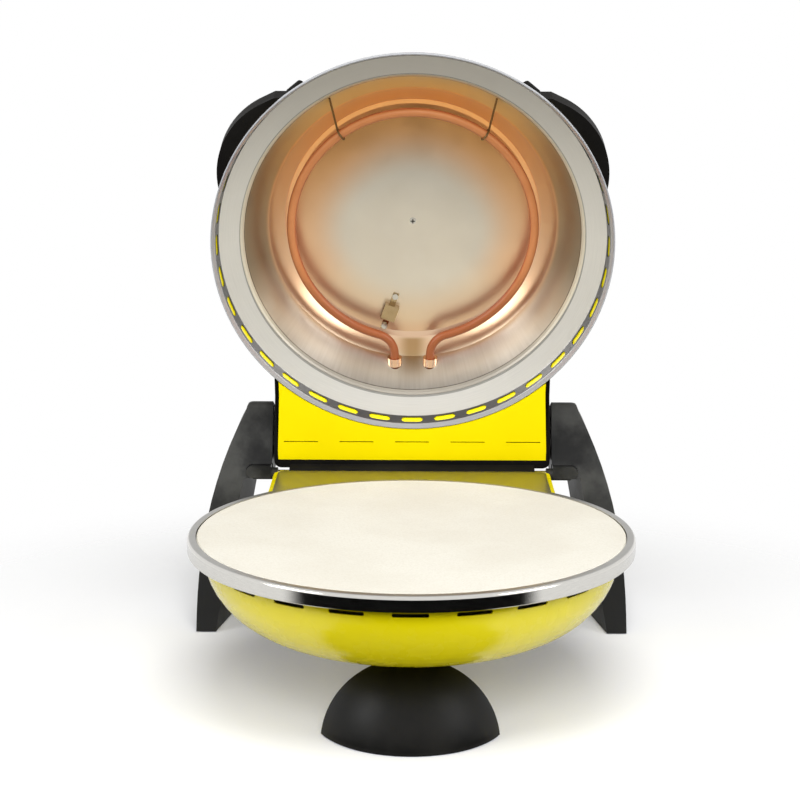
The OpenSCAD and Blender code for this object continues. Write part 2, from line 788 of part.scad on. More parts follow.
// One screw in the middle of the chamber's floor.
module centre_screw() {
    color(steel) on_lid() translate([0, 0, lip_z + pot_depth]) {
        translate([0, 0, -1.6]) cylinder(d = 5, h = 1.6, $fn = 32);
        translate([0, 0, -1.6]) cylinder(d = screw_d, h = 9, $fn = 32);
    }
}

// Posts between the chamber's floor and the dome.
module spacer_posts() {
    low = lip_z + pot_depth + chamber_t;
    color(steel) on_lid() difference() {
        intersection() {
            union() {
                translate([0, 0, low]) cylinder(d = 12, h = 2 * dome_room);
                for (turn = [90, 210, 330]) rotate([0, 0, turn])
                    translate([dome_flat_r + 4, 0, low]) cylinder(d = 10, h = 2 * dome_room);
            }
            dome_body(-dome_wall - 0.05);
        }
        translate([0, 0, low - 1]) cylinder(d = screw_d, h = 9, $fn = 32);
    }
}

box_top = lip_z + box_h;
panel_half_w = box_half_w - 3.3;
panel_back = box_back - 7.5;

// The box's outer form, drawn in by its wall where that is given.
module box_body(inset) {
    corner = 6;
    edge = 10;
    front = 100;
    narrow = 2.4;
    step_y = 128;
    low = lip_z + inset;
    intersection() {
        translate([0, 0, low]) linear_extrude(box_h - 2 * inset) intersection() {
            rear_rounded(box_half_w - inset, front + inset, box_back - inset, corner - inset);
            polygon([
                [-box_half_w + narrow + inset, 0], [-box_half_w + narrow + inset, step_y],
                [-box_half_w + inset, step_y + 50], [-box_half_w + inset, 250],
                [box_half_w - inset, 250], [box_half_w - inset, step_y + 50],
                [box_half_w - narrow - inset, step_y], [box_half_w - narrow - inset, 0]]);
        }
        translate([-150, 0, 0]) rotate([90, 0, 90]) linear_extrude(300)
            polygon(concat(
                [[0, low], [box_back - inset, low]],
                arc(box_back - edge, box_top - edge, edge - inset, 0, 90, 8),
                [[0, box_top - inset]]));
    }
}

// Black box behind the dome, with the hinge barrel under its rear edge.
module control_housing() {
    barrel_half = pin_start + 15;
    bore_from = pin_start - 2;
    barrel_r = 6;
    color(black) on_lid() difference() {
        union() {
            difference() {
                box_body(0);
                box_body(box_wall);
                translate([-panel_half_w - 0.2, 0, lip_z - 1])
                    cube([2 * panel_half_w + 0.4, panel_back + 0.2, box_wall + 2]);
            }
            rod_x(barrel_r, -barrel_half, barrel_half, hinge_y, hinge_z);
            translate([-barrel_half, hinge_y - barrel_r, hinge_z])
                cube([2 * barrel_half, 4, lip_z + 1 - hinge_z]);
        }
        dome_body(0.3);
        translate([0, 0, lip_z - 10]) cylinder(r = lip_r + 0.4, h = 10 + dome_edge + 3);
        both_sides() rod_x(pin_d / 2 + pin_gap, bore_from, barrel_half + 1, hinge_y, hinge_z);
        both_sides() translate([knob_x, knob_y, box_top - 5]) cylinder(r = shaft_r + 0.4, h = 10, $fn = 48);
        translate([0, knob_y, box_top - 5]) cylinder(d = 10, h = 10);
    }
}

// Yellow sheet that closes the box from below, with five slits.
module housing_base_panel() {
    t = 1.2;
    slit_y = 170.3;
    slit_l = 28;
    slit_w = 1.2;
    slit_step = 45.7;
    narrow = 2.4;
    color(yellow) on_lid() translate([0, 0, lip_z + 0.2]) linear_extrude(t) difference() {
        polygon([
            [-panel_half_w + narrow, 100], [-panel_half_w + narrow, 128], [-panel_half_w, 178],
            [-panel_half_w, panel_back], [panel_half_w, panel_back], [panel_half_w, 178],
            [panel_half_w - narrow, 128], [panel_half_w - narrow, 100]]);
        circle(r = lip_r + 0.4, $fn = 180);
        for (i = [-2:2]) translate([i * slit_step - slit_l / 2, slit_y - slit_w / 2]) square([slit_l, slit_w]);
    }
}

shaft_r = 3;
shaft_gap = 0.05;
body_top = box_top - box_wall - 0.1;
shaft_deep = 10;

// Thermostat under the box's top, with the bore for its knob's shaft.
module thermostat_body() {
    color("#c7c3b8") on_lid() translate([-knob_x, knob_y, 0]) difference() {
        translate([-17, -15, body_top - 26]) cube([34, 30, 26]);
        translate([0, 0, body_top - shaft_deep - 1]) cylinder(r = shaft_r + shaft_gap, h = shaft_deep + 2, $fn = 48);
    }
}

// Spring timer under the box's top.
module timer_body() {
    color("#c7c3b8") on_lid() translate([knob_x, knob_y, 0]) difference() {
        translate([0, 0, body_top - 28]) cylinder(r = 18, h = 28);
        translate([0, 0, body_top - shaft_deep - 1]) cylinder(r = shaft_r + shaft_gap, h = shaft_deep + 2, $fn = 48);
    }
}

module indicator_lamp() {
    color("#d8341e") on_lid() translate([0, knob_y, box_top]) {
        translate([0, 0, -16]) cylinder(d = 9.8, h = 16);
        translate([0, 0, 0]) cylinder(d1 = 13, d2 = 11, h = 2.4);
    }
}

// Skirt, ribbed grip with a pointer, and the shaft that goes down into the body.
module knob() {
    skirt_h = 3;
    ribs = 16;
    lift = 0.4;
    translate([0, knob_y, box_top + lift]) {
        cylinder(d = knob_d, h = skirt_h);
        difference() {
            cylinder(r = grip_r, h = knob_h);
            for (i = [0:ribs - 1]) rotate([0, 0, (i + 0.5) * 360 / ribs])
                translate([grip_r + 1, 0, skirt_h]) cylinder(r = 2, h = knob_h, $fn = 24);
            translate([-0.8, 4, knob_h - 0.8]) cube([1.6, 20, 2]);
        }
        translate([0, 0, -box_wall - lift - shaft_deep]) cylinder(r = shaft_r, h = box_wall + lift + shaft_deep + 1, $fn = 48);
    }
}

module thermostat_knob() {
    color(black) on_lid() translate([-knob_x, 0, 0]) knob();
}

module timer_knob() {
    color(black) on_lid() translate([knob_x, 0, 0]) knob();
}

bow_apex = [0, -117, lip_z + bow_rise];
bow_foot = [122, -93, lip_z + 21.7];

screw_deep = 8;
module handle_screw_places() {
    screw_z = 21;
    for (turn = [-34, -44, 214, 224]) rotate([0, 0, turn])
        translate([lip_r - 6.2, 0, lip_z + screw_z]) rotate([0, 90, 0]) children();
}

// Carrying handle: two ears that hug the dome, and a bow between them with a collar at each end.
module handle() {
    ear_low = 8;
    ear_r = 63.5;
    ear_centre = [88, -58.5];
    ear_front = -120.6;
    ear_inner = 94;
    ear_corner = [105.5, ear_front];
    lean = ear_corner - ear_centre;
    touch = atan2(lean[1], lean[0]) + acos(ear_r / norm(lean)) + 1;
    rise = norm([bow_apex[1] - bow_foot[1], bow_apex[2] - bow_foot[2]]);
    bow_r = (pow(bow_foot[0], 2) + pow(rise, 2)) / (2 * rise);
    tilt = atan2(bow_apex[2] - bow_foot[2], bow_apex[1] - bow_foot[1]);
    half = asin(bow_foot[0] / bow_r) + 1;
    collar = 40.4;
    color(black) on_lid() difference() {
        union() {
            both_sides() translate([0, 0, lip_z + ear_low]) linear_extrude(ear_h) intersection() {
                union() {
                    translate(ear_centre) circle(r = ear_r);
                    polygon([ear_centre, [ear_inner, ear_front], ear_corner,
                        ear_centre + (ear_r - 0.02) * [cos(touch), sin(touch)]]);
                }
                translate([ear_inner, ear_front]) square([100, -ear_front]);
            }
            translate(bow_apex) rotate([tilt, 0, 0]) translate([0, -bow_r, 0]) {
                rotate([0, 0, 90 - half]) rotate_extrude(angle = 2 * half, $fn = 144)
                    translate([bow_r, 0]) circle(d = bow_d, $fn = 48);
                both_sides() rotate([0, 0, -collar]) translate([0, bow_r, 0]) rotate([0, 90, 0])
                    cylinder(r1 = bow_d / 2 + 2.8, r2 = bow_d / 2 + 0.2, h = 12, $fn = 48);
            }
        }
        dome_body(0.3);
        handle_screw_places() translate([0, 0, -10]) cylinder(d = 4, h = screw_deep + 10.5, $fn = 48);
    }
}

module handle_screws() {
    head_at = -5.2;
    color(steel) on_lid() handle_screw_places() {
        translate([0, 0, head_at]) cylinder(d = 6, h = 2.4, $fn = 32);
        translate([0, 0, head_at]) cylinder(d = 4, h = screw_deep - head_at, $fn = 48);
    }
}

lower_shell();
lower_rim_ring();
baking_stone();
reflector_pan();
lower_heater();
heater_clips();
terminal_block();
front_foot();
front_foot_pad();
foot_screws();
left_leg();
right_leg();
leg_pads();
cross_beam();
beam_screws();
cord_gland();
hinge_arms();
hinge_pins();
lid_stops();
upper_shell();
upper_rim_ring();
heating_chamber();
upper_heater();
heater_ferrules();
heater_hooks();
sensor_clip();
sensor_bulb();
sensor_capillary();
clip_screws();
centre_screw();
spacer_posts();
control_housing();
housing_base_panel();
thermostat_body();
timer_body();
indicator_lamp();
handle();
handle_screws();
thermostat_knob();
timer_knob();
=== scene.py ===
import math

import bmesh
import bpy
from mathutils import Matrix, Vector


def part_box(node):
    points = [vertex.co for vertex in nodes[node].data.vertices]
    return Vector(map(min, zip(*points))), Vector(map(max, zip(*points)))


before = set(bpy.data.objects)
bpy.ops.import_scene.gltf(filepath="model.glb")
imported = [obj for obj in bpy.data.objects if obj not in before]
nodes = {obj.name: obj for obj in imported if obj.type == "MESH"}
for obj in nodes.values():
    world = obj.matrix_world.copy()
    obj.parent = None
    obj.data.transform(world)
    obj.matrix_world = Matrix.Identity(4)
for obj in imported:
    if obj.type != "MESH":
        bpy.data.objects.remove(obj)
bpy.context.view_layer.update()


# Lower shell.
# A deep-drawn steel bowl with a square neck behind it, stoved in bright yellow gloss enamel.
# Its slots are punched before painting; it hangs under the rim ring and stands on the foot.

AXIS_Y = -0.053829  # the upright axis of bowl, rim, stone and closed lid
BOWL_FLAT, BOWL_WIDE, BOWL_DEEP = 0.080, 0.070, 0.060
BOWL_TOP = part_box("lower_shell")[0].z + BOWL_DEEP


class Wire:
    """One output of a shader node. Sums on wires add Math nodes."""

    def __init__(self, finish, socket):
        self.finish, self.socket = finish, socket

    def __add__(self, other): return self.finish.maths("ADD", self, other)
    def __radd__(self, other): return self.finish.maths("ADD", other, self)
    def __sub__(self, other): return self.finish.maths("SUBTRACT", self, other)
    def __rsub__(self, other): return self.finish.maths("SUBTRACT", other, self)
    def __mul__(self, other): return self.finish.maths("MULTIPLY", self, other)
    def __rmul__(self, other): return self.finish.maths("MULTIPLY", other, self)
    def __truediv__(self, other): return self.finish.maths("DIVIDE", self, other)
    def __rtruediv__(self, other): return self.finish.maths("DIVIDE", other, self)
    def __pow__(self, other): return self.finish.maths("POWER", self, other)


class Finish:
    """A material, or the light of the room, under construction."""

    def __init__(self, name, kind="materials"):
        self.made = getattr(bpy.data, kind).new(name)
        self.made.use_nodes = True
        self.tree = self.made.node_tree
        self.tree.nodes.clear()

    def node(self, kind, settings=None, sockets=None, out=0):
        made = self.tree.nodes.new("ShaderNode" + kind)
        for key, value in (settings or {}).items():
            setattr(made, key, value)
        for key, value in (sockets or {}).items():
            if isinstance(value, Wire):
                self.tree.links.new(value.socket, made.inputs[key])
            else:
                made.inputs[key].default_value = value
        return Wire(self, made.outputs[out]) if made.outputs else None

    def maths(self, how, *values):
        return self.node("Math", {"operation": how}, dict(enumerate(values)))

    def vector(self, how, *values, out="Vector"):
        return self.node("VectorMath", {"operation": how}, dict(enumerate(values)), out=out)

    def place(self):
        """The point on the piece in the oven's own frame, in metres."""
        return self.node("TexCoord", out="Object")

    def facing(self):
        return self.node("NewGeometry", out="Normal")

    def split(self, vector):
        parts = self.node("SeparateXYZ", {}, {0: vector})
        return [Wire(self, part) for part in parts.socket.node.outputs]

    def join(self, x, y, z):
        return self.node("CombineXYZ", {}, {0: x, 1: y, 2: z})

    def noise(self, scale, detail=3.0, rough=0.5, at=None):
        return self.node("TexNoise", {}, {
            "Vector": at or self.place(), "Scale": scale, "Detail": detail, "Roughness": rough})

    def cells(self, scale):
        return self.node("TexVoronoi", {"feature": "F1"}, {"Scale": scale}, out="Distance")

    def spread(self, value, low, high, to_low=0.0, to_high=1.0):
        """A soft step: to_low below low, to_high above high."""
        return self.node("MapRange", {"interpolation_type": "SMOOTHSTEP"},
                         {0: value, 1: low, 2: high, 3: to_low, 4: to_high})

    def band(self, value, low, high, soft):
        """1 between low and high, falling to 0 over a soft edge."""
        return self.spread(value, low - soft, low) * self.spread(value, high, high + soft, 1.0, 0.0)

    def blend(self, mask, tone_a, tone_b):
        return self.node("Mix", {"data_type": "RGBA"}, {0: mask, 6: tone_a, 7: tone_b}, out=2)

    def coats(self, under, *coats):
        """Tones laid one over another, each where its mask is 1."""
        for mask, over in coats:
            under = self.blend(mask, under, over)
        return under

    def bump(self, height, strength, distance, under=None):
        sockets = {"Height": height, "Strength": strength, "Distance": distance}
        if under is not None:
            sockets["Normal"] = under
        return self.node("Bump", {}, sockets)

    def surface(self, **sockets):
        named = {key.replace("_", " "): value for key, value in sockets.items()}
        shader = self.node("BsdfPrincipled", {}, named)
        self.node("OutputMaterial", {}, {"Surface": shader})
        return self.made


def tone(code):
    """A colour written as it looks on screen, as the shader wants it."""
    parts = [int(code[i:i + 2], 16) / 255 for i in (1, 3, 5)]
    return tuple(c / 12.92 if c <= 0.04045 else ((c + 0.055) / 1.055) ** 2.4 for c in parts) + (1.0,)


def dress(material, *names):
    for name in names:
        mesh = nodes[name].data
        mesh.materials.clear()
        mesh.materials.append(material)


def reach(x, y):
    """How far a point lies from the middle."""
    return (x * x + y * y) ** 0.5


def oval_normal(finish, x, y, height, flat, wide, deep):
    """The slope of a pressed shell whose section is a quarter oval round a flat middle."""
    away = reach(x, y)
    slope = finish.maths("MAXIMUM", (away - flat) / wide ** 2, 0.0) / away
    return x * slope, y * slope, height / deep ** 2


def bowl_normal(finish):
    x, y, z = finish.split(finish.place())
    return finish.join(*oval_normal(
        finish, x, y - AXIS_Y, z - BOWL_TOP, BOWL_FLAT, BOWL_WIDE, BOWL_DEEP))


def gloss_enamel(name, ideal):
    """Stoved enamel with a faint orange peel. A facet that lies close to the ideal slope takes it."""
    enamel = Finish(name)
    drift = enamel.spread(enamel.noise(5.0, 1.0), 0.35, 0.65)
    peel = enamel.noise(420.0, 1.0)
    found = enamel.facing()
    exact = enamel.vector("NORMALIZE", ideal(enamel))
    alike = enamel.spread(enamel.vector("DOT_PRODUCT", exact, found, out="Value"), 0.93, 0.97)
    under = enamel.node("Mix", {"data_type": "VECTOR"}, {0: alike, 4: found, 5: exact}, out=1)
    return enamel.surface(
        Base_Color=enamel.blend(drift, tone("#efdf02"), tone("#f7e706")),
        Roughness=enamel.spread(enamel.noise(60.0), 0.3, 0.7, 0.24, 0.30),
        Specular_IOR_Level=0.2, Coat_Weight=0.7, Coat_Roughness=0.05,
        Normal=enamel.bump(peel, 0.02, 0.0003, under))


dress(gloss_enamel("bowl_enamel", bowl_normal), "lower_shell")


# Lower rim ring.
# A rolled band of polished stainless steel with a flat brushed top, painted darker grey as a
# painted reflection of the darker things above it. It carries the stone and its rear plate
# closes the neck.

polish = Finish("polished_steel")
x, y, z = polish.split(polish.place())
around = polish.maths("ARCTAN2", y - AXIS_Y, x)
hair = polish.noise(60.0, 4.0, 0.6, at=polish.join(around * 0.35, z * 30.0, 0.0))
# The flat top's darker tone is a painted reflection; its higher roughness is the brushing.
flat_top = polish.spread(polish.split(polish.facing())[2], 0.75, 0.97)
smear = polish.spread(polish.noise(18.0, 4.0), 0.45, 0.7)
dress(polish.surface(
    Base_Color=polish.coats(tone("#c8c6c1"), (hair, tone("#e4e2dc")), (flat_top, tone("#a6a5a1"))),
    Metallic=1.0,
    Roughness=polish.spread(hair, 0.3, 0.7, 0.07, 0.12) + flat_top * 0.26 + smear * 0.03,
    Normal=polish.bump(hair, 0.03, 0.0003)), "lower_rim_ring")


# Baking stone.
# A round of cast refractory, cream, matt and finely grained, with a few darker specks.
# It lies loose on the rim ring's seat.

stone = Finish("refractory_stone")
fine = stone.noise(700.0, 5.0, 0.65)
broad = stone.noise(14.0, 3.0)
specks = stone.spread(stone.cells(420.0), 0.05, 0.16, 1.0, 0.0) * stone.spread(stone.noise(60.0), 0.52, 0.62)
dress(stone.surface(
    Base_Color=stone.coats(
        tone("#d8d4c8"),
        (stone.spread(broad, 0.35, 0.65), tone("#dedbd0")),
        (stone.spread(fine, 0.4, 0.7) * 0.4, tone("#ccc6b6")),
        (specks * 0.45, tone("#a3957a"))),
    Roughness=stone.spread(fine, 0.3, 0.7, 0.78, 0.92),
    Specular_IOR_Level=0.25,
    Normal=stone.bump(fine, 0.25, 0.0006)), "baking_stone")


# Foot, legs and what joins them.
# Foot and legs are moulded in black plastic with a fine spark-eroded grain and a few scuffs, and
# stand on rubber. Painted shade darkens the foot's top and the legs' lower part, where the bowl
# shadows them. The steel beam and hinge arms are coated to match.

def black_moulding(name, dark, scuffed_lit, shine, rough, shaded_at, lit_at):
    """Grained black with scuffs, painted lighter toward one height and darker toward another: painted shade.
    """
    black = Finish(name)
    grain = black.noise(1300.0, 2.0, 0.6)
    scuff = black.noise(22.0, 5.0, 0.6)
    height = black.split(black.place())[2]
    # Painted shade: the tone darkens over a span of height, and the scuffs show only where it stays light.
    scuffs_where_lit = black.spread(scuff, 0.35, 0.7) * black.spread(height, shaded_at, lit_at)
    return black.surface(
        Base_Color=black.blend(scuffs_where_lit, tone(dark), tone(scuffed_lit)),
        Roughness=black.spread(scuff, 0.3, 0.7, *rough),
        Specular_IOR_Level=shine,
        Normal=black.bump(grain, 0.22, 0.0003))


def mottled(name, scale, detail, tones, rough, relief, metallic=0.0):
    """A finish whose colour, gloss and relief all follow one fine noise."""
    plain = Finish(name)
    mottle = plain.noise(scale, detail)
    return plain.surface(
        Base_Color=plain.blend(mottle, tone(tones[0]), tone(tones[1])),
        Metallic=metallic,
        Roughness=plain.spread(mottle, 0.3, 0.7, *rough),
        Normal=plain.bump(mottle, *relief))


# The foot is painted darker toward its top and the legs toward their foot: painted shade under the bowl.
dress(black_moulding("foot_plastic", "#070706", "#181715", shine=0.19, rough=(0.38, 0.48),
                     shaded_at=0.05, lit_at=0.0), "front_foot")
dress(black_moulding("leg_plastic", "#0e0e0e", "#3d3d3b", shine=0.28, rough=(0.42, 0.54),
                     shaded_at=0.04, lit_at=0.13), "left_leg", "right_leg", "hinge_arms", "cross_beam")
dress(mottled("black_rubber", 500.0, 4.0, ("#0f0f0f", "#1a1a19"), rough=(0.75, 0.9), relief=(0.3, 0.0004)),
      "front_foot_pad", "leg_pads", "lid_stops", "cord_gland")


# Lid ring.
# Pressed from satin stainless sheet: a rolled lip, a slotted wall painted dark as painted shade
# inside the dome's edge, and the wide brushed ring that leads to the chamber's mouth.

OPEN_ANGLE = math.radians(74.3)
HINGE_REACH, HINGE_HEIGHT = 0.197, 0.123  # the pins, from the bowl's axis and from the table
LIP_HEIGHT = 0.1283                       # the closed lid's lip
DARK_REFLECTION_SPAN = (-0.16, 0.02)               # along the lid, which is darkest at its front
ROLLED_LIP = (0.1545, 0.1552)             # from the lid's axis
CREASE_SHADE, CREASE_SHADE_RISE = (0.1536, 0.1542), (0.004, 0.005)
SLOT_WALL, SLOT_RISE = (0.1520, 0.1560), (0.0042, 0.0134)
JOINT_SHADOW, JOINT_SHADOW_SHIFT = (0.1369, 0.1373), 0.0009  # the dark line between the ring and the chamber


def lid_frame(finish):
    """Distances across and along the closed lid, and up from its lip, at a point of the open lid."""
    x, y, z = finish.split(finish.place())
    back, lift = y - (HINGE_REACH + AXIS_Y), z - HINGE_HEIGHT
    along = back * math.cos(OPEN_ANGLE) - lift * math.sin(OPEN_ANGLE) + HINGE_REACH
    up = back * math.sin(OPEN_ANGLE) + lift * math.cos(OPEN_ANGLE) + (HINGE_HEIGHT - LIP_HEIGHT)
    return x, along, up


satin = Finish("satin_steel")
across, along, up = lid_frame(satin)
turn = satin.maths("ARCTAN2", along, across)
out = reach(across, along)
streak = satin.noise(46.0, 5.0, 0.65, at=satin.join(turn * 0.10, out * 30.0, 0.0))
rolled = satin.spread(out, *ROLLED_LIP)
# Painted shade: a dark line in the crease inside the rolled lip.
crease_shade = satin.band(out, *CREASE_SHADE, 0.0005) * satin.spread(up, *CREASE_SHADE_RISE, 1.0, 0.0)
# Painted shade: the slotted wall is painted dark where it sits inside the dome's edge.
slot_wall_shade = satin.band(out, *SLOT_WALL, 0.0004) * satin.band(up, *SLOT_RISE, 0.0006)
# Painted reflection: the ring is painted darker toward the lid's front, where it would reflect darker
# things.
dark_reflection = satin.spread(along, *DARK_REFLECTION_SPAN, 1.0, 0.0)
# Painted shadow in the gap between the ring and the chamber, wider toward the lid's rear.
joint_shadow = satin.spread(out - satin.spread(along, -0.02, 0.12) * JOINT_SHADOW_SHIFT, *JOINT_SHADOW, 1.0, 0.0)
dress(satin.surface(
    Base_Color=satin.coats(
        tone("#dddcda"),
        (streak, tone("#f2f1ee")),
        (dark_reflection * 0.7, tone("#86837f")),
        (rolled, tone("#b4b5b8")),
        (slot_wall_shade * 0.85, tone("#3c3c3f")),
        (crease_shade * 0.9, tone("#2e2d2c")),
        (joint_shadow * 0.5, tone("#2a2622"))),
    Metallic=1.0 - rolled * 0.6,
    Roughness=satin.spread(streak, 0.3, 0.7, 0.30, 0.40) - rolled * 0.22,
    Normal=satin.bump(streak, 0.05, 0.0004)), "upper_rim_ring")


# Heating chamber.
# Spun from stainless sheet, with a bevelled mouth. Use has browned its wall; round the tube the
# floor and slope are amber from heat tint and painted glow of the hot tube. The wall's dark flanks,
# bright rear and darker strip by the mouth are painted reflection, the mouth's bevel carries a
# painted highlight and its foot a painted shade line; the wall keeps fine marks from the spinning tool.

TUBE_RING, TUBE_RISE = 0.0975, 0.0447  # the heater's loop, from the lid's axis and its lip
MOUTH_END = (0.0226, 0.0230)           # heights over the lip, the lid closed
WALL_END = (0.046, 0.052)
FLOOR_START = (0.0600, 0.0616)
STRANDS_ROUND, STRANDS_UP = 60.0, 24.0

spun = Finish("tempered_steel")
across, along, up = lid_frame(spun)
out = reach(across, along)
turn = spun.maths("ARCTAN2", along, across)
sideways = spun.maths("ABSOLUTE", across)
strand = spun.noise(1.0, 2.0, 0.5, at=spun.join(
    spun.maths("COSINE", turn) * STRANDS_ROUND, spun.maths("SINE", turn) * STRANDS_ROUND, up * STRANDS_UP))
tool_marks = spun.noise(900.0, 3.0, 0.7, at=spun.join(turn * 0.02, out, 0.0))
to_tube = reach(out - TUBE_RING, up - TUBE_RISE)

mouth = spun.spread(up, *MOUTH_END, 1.0, 0.0)
wall = spun.spread(up, *WALL_END, 1.0, 0.0)
floor = spun.spread(up, *FLOOR_START)
front = spun.spread(along / out, -0.9, 0.35, 1.0, 0.0)
rear = spun.spread(along / out, 0.35, 0.85)
rear_wall = rear * wall
flank = spun.spread(sideways / out, 0.55, 0.95)
# Painted reflection: the wall's flanks are painted dark, its rear painted bright, and a strip by the mouth
# darker.
flank_dark_reflection = wall * flank * spun.spread(along / out, 0.15, 0.55, 0.8, 0.1)
low_wall = rear_wall * spun.spread(up, 0.021, 0.036, 0.75, 0.0)
# Heat tint and painted glow of the hot tube, reaching further toward the lid's front.
tube_glow_and_tint = spun.spread(to_tube, 0.0180, 0.048 + front * 0.014, 1.0, 0.0) * (0.6 + front * 0.4)
# A painted glow halo close beside the tube.
tube_halo = spun.spread(to_tube, 0.0150, 0.0215, 1.0, 0.0)
between_ends = (spun.spread(sideways, 0.002, 0.016, 1.0, 0.0) * rear
                * spun.spread(up, 0.024, 0.05) * spun.spread(up, 0.0595, 0.0620, 1.0, 0.0))
# Painted shade: a dark line in the crease at the foot of the mouth's bevel.
bevel_crease_shade = spun.band(up, 0.0229, 0.0232, 0.0004)

bare_steel = spun.blend(spun.spread(spun.noise(16.0), 0.3, 0.7), tone("#dfd8cc"), tone("#e6e0d5"))
# The spinning strands are real; their bright and dark tones on the rear wall are painted reflection.
strand_highlight = spun.blend(strand, tone("#e6dfd2"), tone("#f8f3ea"))
strand_dark_reflection = spun.blend(strand, tone("#a09b94"), tone("#c8c4be"))
amber_floor = spun.blend(rear, tone("#ffb45a"), tone("#ecc592"))
amber_slope = spun.blend(rear, spun.blend(front, tone("#deb974"), tone("#ffcd86")), tone("#f0dca8"))
# Painted highlight: the mouth's bevel is painted bright at the front, where it catches light, and darker at
# the rear.
bevel_highlight = spun.blend(rear, tone("#cfc6b1"), tone("#9b958a"))
dress(spun.surface(
    Base_Color=spun.coats(
        bare_steel,
        (wall, tone("#e4dece")),
        (wall * front * 0.85, tone("#c8dcc2")),
        (flank_dark_reflection, tone("#8f8d7e")),
        (rear_wall * (1.0 - flank * 0.5), strand_highlight),
        (low_wall, strand_dark_reflection),
        (tube_glow_and_tint * 0.85 * floor, amber_floor),
        (tube_glow_and_tint * 0.8 * (1.0 - floor) * (1.0 - wall * 0.75), amber_slope),
        (tube_halo * 0.45, tone("#e39a63")),
        (between_ends * 0.8, tone("#a5814f")),
        (bevel_crease_shade * 0.75, tone("#3d3222")),
        (mouth, bevel_highlight)),
    Metallic=1.0 - mouth * 0.75,
    Roughness=spun.spread(spun.noise(40.0), 0.3, 0.7, 0.30, 0.36),
    Normal=spun.bump(tool_marks, 0.04, 0.0003)), "heating_chamber")


# Tube heaters.
# Sheathed elements bent from 7 mm tube. The upper one glows a dull orange, leaves through plated
# collars and hangs on two wire hooks; the lower one lies on clips over a pressed steel pan.

glow = Finish("hot_tube")
mottle = glow.noise(80.0)
near_ends = glow.spread(lid_frame(glow)[1], 0.02, 0.08)
x, y, z = glow.split(glow.facing())
# Painted highlight: the tube is painted lighter on the side that faces the mouth and darker at its edges.
tube_highlight = glow.spread(y * -math.sin(OPEN_ANGLE) - z * math.cos(OPEN_ANGLE), 0.25, 0.85)
dress(glow.surface(
    Base_Color=glow.coats(
        tone("#9c4a20"),
        (tube_highlight, glow.blend(mottle, tone("#b5713f"), tone("#c48250"))),
        (near_ends * 0.85, tone("#84431f"))),
    Roughness=glow.spread(mottle, 0.3, 0.7, 0.30, 0.40),
    Emission_Color=glow.blend(mottle, tone("#c85c28"), tone("#d87440")),
    Emission_Strength=0.09,
    Normal=glow.bump(glow.noise(600.0), 0.12, 0.0003)), "upper_heater")

dress(mottled("cold_tube", 120.0, 4.0, ("#4a4542", "#6a6460"), rough=(0.45, 0.6),
              relief=(0.2, 0.0003), metallic=0.6), "lower_heater")
dress(mottled("flushed_steel", 120.0, 3.0, ("#e2b594", "#efd3ba"), rough=(0.14, 0.22),
              relief=(0.05, 0.0003), metallic=1.0), "heater_ferrules")
dress(mottled("browned_wire", 260.0, 3.0, ("#6b5334", "#8d734c"), rough=(0.36, 0.48),
              relief=(0.1, 0.0003), metallic=0.9), "heater_hooks")
dress(mottled("dull_steel", 150.0, 4.0, ("#a8a6a2", "#c4c2be"), rough=(0.36, 0.48),
              relief=(0.08, 0.0003), metallic=1.0), "reflector_pan", "heater_clips", "spacer_posts")


# Sensor, screws and small metal.
# A folded steel clip, browned like the chamber's floor, holds the copper sensor against it. The
# screws are plated steel, the chamber's centre one cross-headed; the terminal block is fired clay.

CROSS_ARM, CROSS_REACH = (0.0004, 0.0006), (0.0017, 0.0020)  # from the lid's axis
CROSS_RISE = (0.040, 0.050)                                  # over the closed lid's lip

bright = Finish("bright_steel")
plating = bright.noise(300.0)
across, along, up = lid_frame(bright)
to_arm = bright.maths("MINIMUM", bright.maths("ABSOLUTE", across), bright.maths("ABSOLUTE", along))
# Painted shade: the centre screw's cross recess is painted dark.
recess_shade = (bright.spread(to_arm, *CROSS_ARM, 1.0, 0.0)
          * bright.spread(reach(across, along), *CROSS_REACH, 1.0, 0.0) * bright.spread(up, *CROSS_RISE))
dress(bright.surface(
    Base_Color=bright.coats(tone("#b9b8b4"), (plating, tone("#dcdbd8")), (recess_shade, tone("#15120f"))),
    Metallic=1.0,
    Roughness=bright.spread(plating, 0.3, 0.7, 0.16, 0.26),
    Normal=bright.bump(plating, 0.05, 0.0003)),
    "clip_screws", "centre_screw", "handle_screws", "foot_screws", "beam_screws", "hinge_pins")

dress(mottled("clip_steel", 200.0, 3.0, ("#a8926f", "#bda784"), rough=(0.14, 0.22),
              relief=(0.05, 0.0003), metallic=1.0), "sensor_clip")
dress(mottled("dull_copper", 150.0, 4.0, ("#8a5f3e", "#b08058"), rough=(0.35, 0.5),
              relief=(0.1, 0.0003), metallic=1.0), "sensor_bulb", "sensor_capillary")
dress(mottled("white_ceramic", 400.0, 4.0, ("#dcd8cb", "#ece9df"), rough=(0.6, 0.75),
              relief=(0.2, 0.0004)), "terminal_block")


# Dome and the box's base panel.
# The lid's dome is enamelled like the bowl. The sheet under the rear box is sprayed in the
# same yellow, a little flatter, and shows a row of pressed slits.

DOME_FLAT, DOME_WIDE, DOME_DEEP = 0.060, 0.0988, 0.089
DOME_DROP = 0.012  # the oval's centre, under the lip


